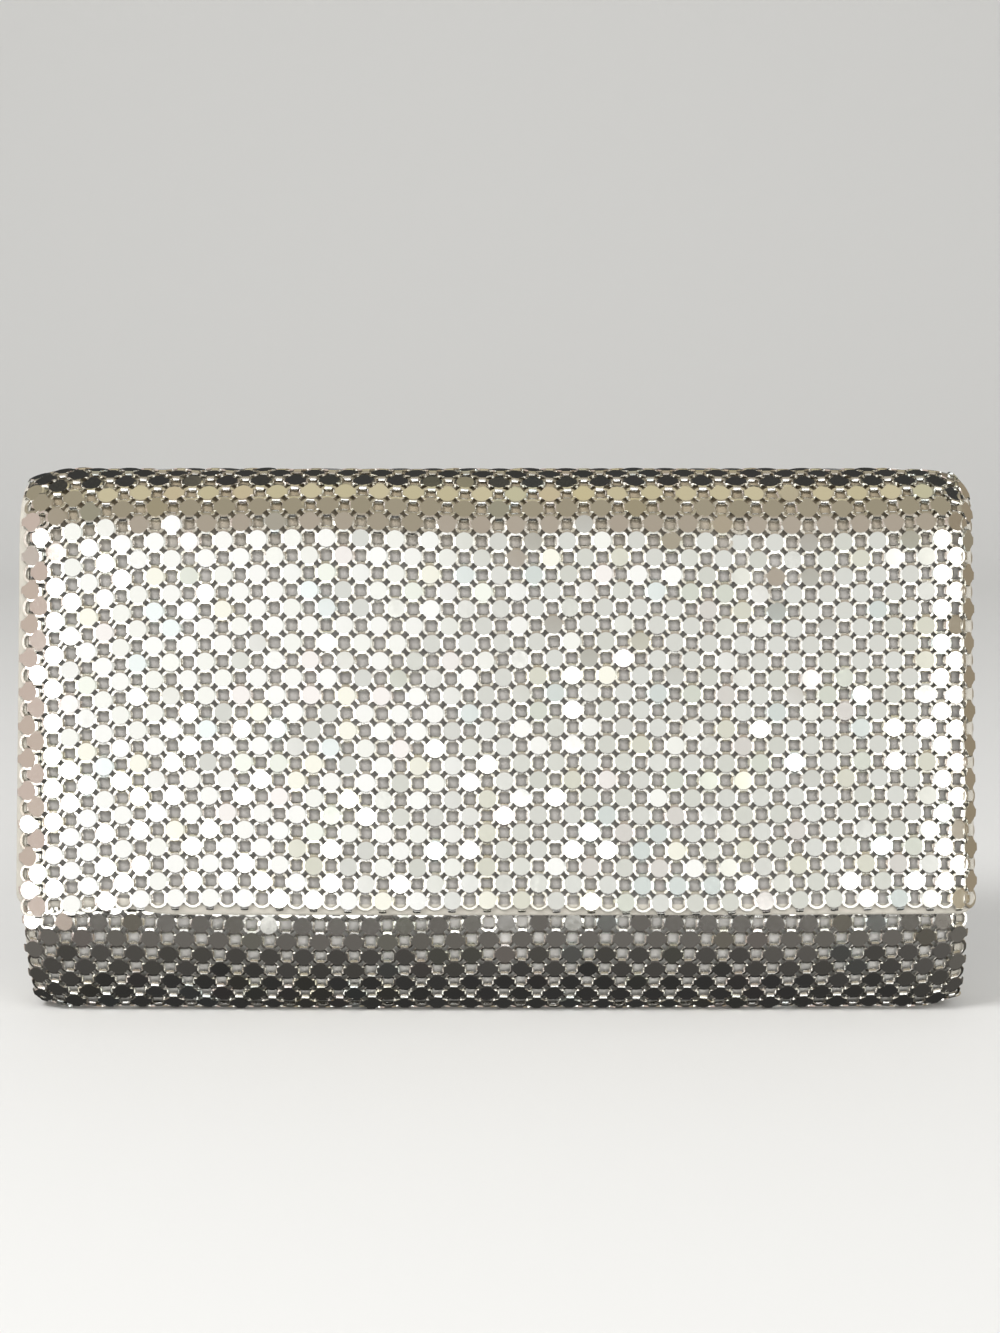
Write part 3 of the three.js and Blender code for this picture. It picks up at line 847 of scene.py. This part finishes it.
FLAP_SWAYS = [(95, 31), (41, -77), (37, 83)]  # three waves' turns across and along, in radians a metre
WRAP_COLUMN = 29
WRAP_X = WIDTH / 2 - 0.0009
WRAP_DEPTH = 0.0004
WRAP_TURN = math.radians(47)
CREASES = [
    # its two ends, across and along from the flap's top, and its depth
    (0.039, -0.009, 0.0595, 0.0105, 0.00032),
    (-0.012, -0.010, 0.004, 0.004, 0.00018),
    (-0.071, -0.004, -0.060, 0.010, 0.00025),
]
CREASE_WIDTH = 0.0019


def swayed(x, s, waves):
    """Lets rows and columns wander a little: two waves along the strip and one across it."""
    first, second, third = waves
    along = SWAY * np.sin(x * first[0] + s * first[1])
    s = s + along + SWAY * np.sin(x * second[0] + s * second[1] + 1)
    return x + SWAY * np.sin(s * third[1] + x * third[0] + 2), s


def hung(k, m, out):
    """Places in the flap's mesh, from its column and row."""
    x = FLAP_MIDDLE + k * HALF_PITCH * np.where(k < 0, LEFT_STRETCH, 1)
    s = FLAP_ALONG_START + m * HALF_PITCH
    slipped = np.clip((HEM - s) / (HEM - starts["flap"]), 0, 1)
    x = x - SHEAR * slipped * np.clip((EVEN_TO - np.abs(x)) / EVEN_RUN, 0, 1)
    x = x - RIGHT_CROWD * (np.clip(x - CROWD_START, 0, None) / CROWD_RUN) ** 2
    x = x + LEFT_CROWD * (np.clip(-x - LEFT_CROWD_START, 0, None) / LEFT_CROWD_RUN) ** 2
    grown = np.clip((s - SEAM) / (starts["flap"] - SEAM), 0, 1)
    grown = grown * (1 - (1 - DROOP_AT_HEM) * np.clip((s - HEM + DROOP_FADE) / DROOP_FADE, 0, 1))
    s = s + DROOP * grown * np.clip((-x - DROOP_START) / DROOP_RUN, 0, 1) ** DROOP_CURVE
    x, s = swayed(x, s, FLAP_SWAYS)
    for x0, s0, x1, s1, depth in CREASES:
        run_x = x1 - x0
        run_s = s1 - s0
        from_x = x - x0
        from_s = s - starts["flap"] - s0
        share = np.clip((from_x * run_x + from_s * run_s) / (run_x**2 + run_s**2), 0, 1)
        apart = np.hypot(from_x - share * run_x, from_s - share * run_s)
        out = out - depth * np.exp(-((apart / CREASE_WIDTH) ** 2))
    return place(x, s, out)


def wrapped(k, m, out):
    """Places in the flap's last column, which wraps round its right edge."""
    s = FLAP_ALONG_START + m * HALF_PITCH
    edge = place(WRAP_X, s, -WRAP_DEPTH)
    outwards = place(WRAP_X, s, NUDGE - WRAP_DEPTH) - edge
    outwards /= np.linalg.norm(outwards, axis=-1)[..., None]
    sideways = np.array([1.0, 0, 0])
    onwards = sideways * math.cos(WRAP_TURN) - outwards * math.sin(WRAP_TURN)
    off = sideways * math.sin(WRAP_TURN) + outwards * math.cos(WRAP_TURN)
    return edge + onwards * ((k - WRAP_COLUMN) * HALF_PITCH)[..., None] + off * out


# The pouch's mesh is pulled in a little by the snap, just under the flap's middle.
POUCH_MIDDLE_COLUMN = 0.0020
POUCH_SWAYS = [(71, 53), (33, -61), (29, 91)]
POUCH_COLUMNS = range(-28, 28)
POUCH_ALONG_START = starts["belly"] + 0.0118  # a row of plates on the belly, from which the others count
POUCH_FIRST = -int(POUCH_ALONG_START / HALF_PITCH)
POUCH_TURN = int((BASE_MIDDLE - POUCH_ALONG_START) / HALF_PITCH)
POUCH_LAST = int((SEAM - POUCH_ALONG_START - HALF_PITCH / 2) / HALF_PITCH)
POUCH_PARTS = [("front", range(POUCH_FIRST, POUCH_TURN)), ("back", range(POUCH_TURN, POUCH_LAST + 1))]
PULL_DEPTH = 0.0006  # by the snap
PULL_WIDTH = 0.0085
PULL_X = 0.002
PULL_ALONG = (mouth_height - HEM_HEIGHT) / math.cos(FRONT_LEAN)


def laid(k, m, out):
    """Places in the pouch's mesh, from its column and row."""
    x = POUCH_MIDDLE_COLUMN + k * HALF_PITCH
    s = POUCH_ALONG_START + m * HALF_PITCH
    x, s = swayed(x, s, POUCH_SWAYS)
    apart = np.hypot(x - PULL_X, s - PULL_ALONG)
    return place(x, s, out - PULL_DEPTH * np.exp(-((apart / PULL_WIDTH) ** 2)))


SMUDGE_SCALE = 900.0
SCRATCH_SCALE = (9000.0, 9000.0, 1400.0)  # fine across the purse, longer up it
HANDLED_RANGE = (0.12, 0.42)  # from the smoothest places to the dullest
METAL_BUMP = 0.4


def handled_metal_group():
    """Polished metal after use: small scratches and smudges, which dull it and make its face uneven."""
    inputs = [("Vector", "Vector"), ("Smoothest", "Float"), ("Dullest", "Float")]
    tree, given = new_group("handled_metal", inputs, [("Roughness", "Float"), ("Height", "Float")])
    values = {"Vector": given["Vector"], "Scale": SMUDGE_SCALE, "Detail": 4.0}
    smudge = add(tree, "ShaderNodeTexNoise", values)
    brushed = add(tree, "ShaderNodeMapping", {"Vector": given["Vector"], "Scale": SCRATCH_SCALE})
    scratch = add(tree, "ShaderNodeTexNoise", {"Vector": brushed.outputs[0], "Scale": 1.0, "Detail": 2.0})
    both = add(tree, "ShaderNodeMath", {0: smudge.outputs[0], 1: scratch.outputs[0]}, operation="MULTIPLY")
    values = {"Value": both.outputs[0], "From Min": HANDLED_RANGE[0], "From Max": HANDLED_RANGE[1]}
    values |= {"To Min": given["Smoothest"], "To Max": given["Dullest"]}
    roughness = add(tree, "ShaderNodeMapRange", values)
    add(tree, "NodeGroupOutput", {"Roughness": roughness.outputs[0], "Height": both.outputs[0]})
    return tree


HANDLED = handled_metal_group()


def metal_material(name, tints, smoothest, dullest, relief):
    """Silver-tone metal whose tint varies from one plate or ring to the next. A plate's arms are duller."""
    material, tree = new_material(name)
    place_on = add(tree, "ShaderNodeTexCoord").outputs["Object"]
    tone = add(tree, "ShaderNodeAttribute", attribute_name="tone").outputs["Fac"]
    handled = use_group(tree, HANDLED, {"Vector": place_on, "Smoothest": smoothest, "Dullest": dullest})
    ramp = add(tree, "ShaderNodeValToRGB", {0: tone})
    ramp.color_ramp.interpolation = "CONSTANT"
    while len(ramp.color_ramp.elements) < len(tints):
        ramp.color_ramp.elements.new(1.0)
    for element, (position, colour) in zip(ramp.color_ramp.elements, tints):
        element.position = position
        element.color = colour
    values = {"Height": handled.outputs["Height"], "Strength": METAL_BUMP, "Distance": relief}
    bump = add(tree, "ShaderNodeBump", values)
    arm = add(tree, "ShaderNodeAttribute", attribute_name="arm").outputs["Fac"]
    roughness = add(tree, "ShaderNodeMix", {0: arm, 2: handled.outputs["Roughness"], 3: ARM_ROUGHNESS})
    values = {"Base Color": ramp.outputs[0], "Roughness": roughness.outputs[0], "Metallic": 1.0}
    shading = add(tree, "ShaderNodeBsdfPrincipled", values | {"Normal": bump.outputs[0]})
    add(tree, "ShaderNodeOutputMaterial", {"Surface": shading.outputs[0]})
    return material


PLATE_TINTS = [
    # the share of the plates before it, and the tint
    (0.0, (0.89, 0.885, 0.86, 1)),
    (0.30, (0.92, 0.92, 0.90, 1)),
    (0.52, (0.86, 0.86, 0.82, 1)),
    (0.78, (0.85, 0.90, 0.895, 1)),
    (0.83, (0.90, 0.885, 0.79, 1)),
    (0.90, (0.88, 0.84, 0.82, 1)),
    (0.95, (0.86, 0.88, 0.81, 1)),
]
PLATE_ROUGHNESS = (0.09, 0.12)
PLATE_RELIEF = 0.0000012
FLAP_PLATE_SEED = 11
POUCH_PLATE_SEED = 23
plate_material = metal_material("polished_plate", PLATE_TINTS, *PLATE_ROUGHNESS, PLATE_RELIEF)
plate = plate_shape(plate_material)
FLAP_MESH = [("flap", FLAP_COLUMNS, hung), ("wrapped", [WRAP_COLUMN], wrapped)]
for part, columns, where in FLAP_MESH:
    name = f"{part}_plates"
    points = carrier(name + "_points", columns, FLAP_ROWS, 0, where, 0)
    linked(name, points, plate, PLATE_TILT, FLAP_PLATE_SEED, plate_material, "flap_mesh")
for part, rows in POUCH_PARTS:
    name = f"pouch_plates_{part}"
    points = carrier(name + "_points", POUCH_COLUMNS, rows, 0, laid, 0)
    linked(name, points, plate, PLATE_TILT, POUCH_PLATE_SEED, plate_material, "pouch_mesh")
bpy.data.objects.remove(plate)

# Rings of the mesh
# Flattened wire rings between the plates. Each is held by the hooked arms of the four plates around it, and
# the last ones hang free over the flap's edging. The pouch's rings keep more of their polish, and their
# tints
# are painted darker: painted shade for the pouch's dim lower body.
RING_RADIUS = 0.00181
RING_SECTION = [
    # out from the middle of the wire, and up from its top
    (-0.00037, -0.00015),
    (-0.00024, 0.0),
    (0.00024, 0.0),
    (0.00037, -0.00015),
    (0.0, -0.00054),
]
RING_TOP = 1  # the section's flat top runs from this point to the next
RING_SINK = 0.00030
RING_STEPS = 12
RING_TILT = math.radians(5)


def ring_shape(material):
    """One ring, lying flat round the origin."""
    points, faces, tops = [], [], []
    sides = len(RING_SECTION)
    for i in range(RING_STEPS):
        a = math.tau * (i + 0.5) / RING_STEPS
        for j, (apart, height) in enumerate(RING_SECTION):
            r = RING_RADIUS + apart
            points.append((r * math.cos(a), r * math.sin(a), height))
            here, after = i * sides, (i + 1) % RING_STEPS * sides
            beside = (j + 1) % sides
            if j == RING_TOP:
                tops.append(len(faces))
            faces.append((here + j, here + beside, after + beside, after + j))
    made = new_object("ring_shape", points, faces, material)
    for i in tops:
        made.data.polygons[i].use_smooth = False
    return made


RING_TINTS = [
    (0.0, (0.93, 0.92, 0.87, 1)),
    (0.5, (0.88, 0.87, 0.82, 1)),
    (0.8, (0.84, 0.82, 0.74, 1)),
]
# painted shade: the pouch's rings get darker tints than the flap's
LOW_RING_SHADED_TINTS = [(0.0, (0.62, 0.61, 0.58, 1)), (0.6, (0.54, 0.53, 0.49, 1))]
RING_ROUGHNESS = (0.30, 0.42)
LOW_RING_ROUGHNESS = (0.13, 0.2)
RING_RELIEF = 0.00001
FLAP_RING_SEED = 37
POUCH_RING_SEED = 41
ring_material = metal_material("ring_wire", RING_TINTS, *RING_ROUGHNESS, RING_RELIEF)
low_ring_shaded_material = metal_material("ring_wire_low_shaded", LOW_RING_SHADED_TINTS, *LOW_RING_ROUGHNESS, RING_RELIEF)
ring = ring_shape(ring_material)
for part, columns, where in FLAP_MESH:
    name = f"{part}_rings"
    points = carrier(name + "_points", columns, FLAP_ROWS, 1, where, -RING_SINK)
    linked(name, points, ring, RING_TILT, FLAP_RING_SEED, ring_material, "flap_mesh")
for part, rows in POUCH_PARTS:
    name = f"pouch_rings_{part}"
    points = carrier(name + "_points", POUCH_COLUMNS, rows, 1, laid, -RING_SINK)
    linked(name, points, ring, RING_TILT, POUCH_RING_SEED, low_ring_shaded_material, "pouch_mesh")
bpy.data.objects.remove(ring)

# Snap
# The hidden snap under the flap: one plain steel button, so its solid stays and only gets its finish.
SNAP_TINTS = [(0.0, (0.66, 0.655, 0.64, 1)), (0.6, (0.70, 0.695, 0.68, 1))]
SNAP_ROUGHNESS = (0.26, 0.42)
SNAP_RELIEF = 0.00003
snap_material = metal_material("snap_steel", SNAP_TINTS, *SNAP_ROUGHNESS, SNAP_RELIEF)
snap = bpy.data.objects["snap_clasp"]
snap.data.materials.clear()
snap.data.materials.append(snap_material)

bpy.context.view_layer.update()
total = 0
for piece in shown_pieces():
    count = sum(len(face.vertices) - 2 for face in piece.data.polygons)
    total += count
    print("triangles", piece.name, count)
print("triangles in all", total)
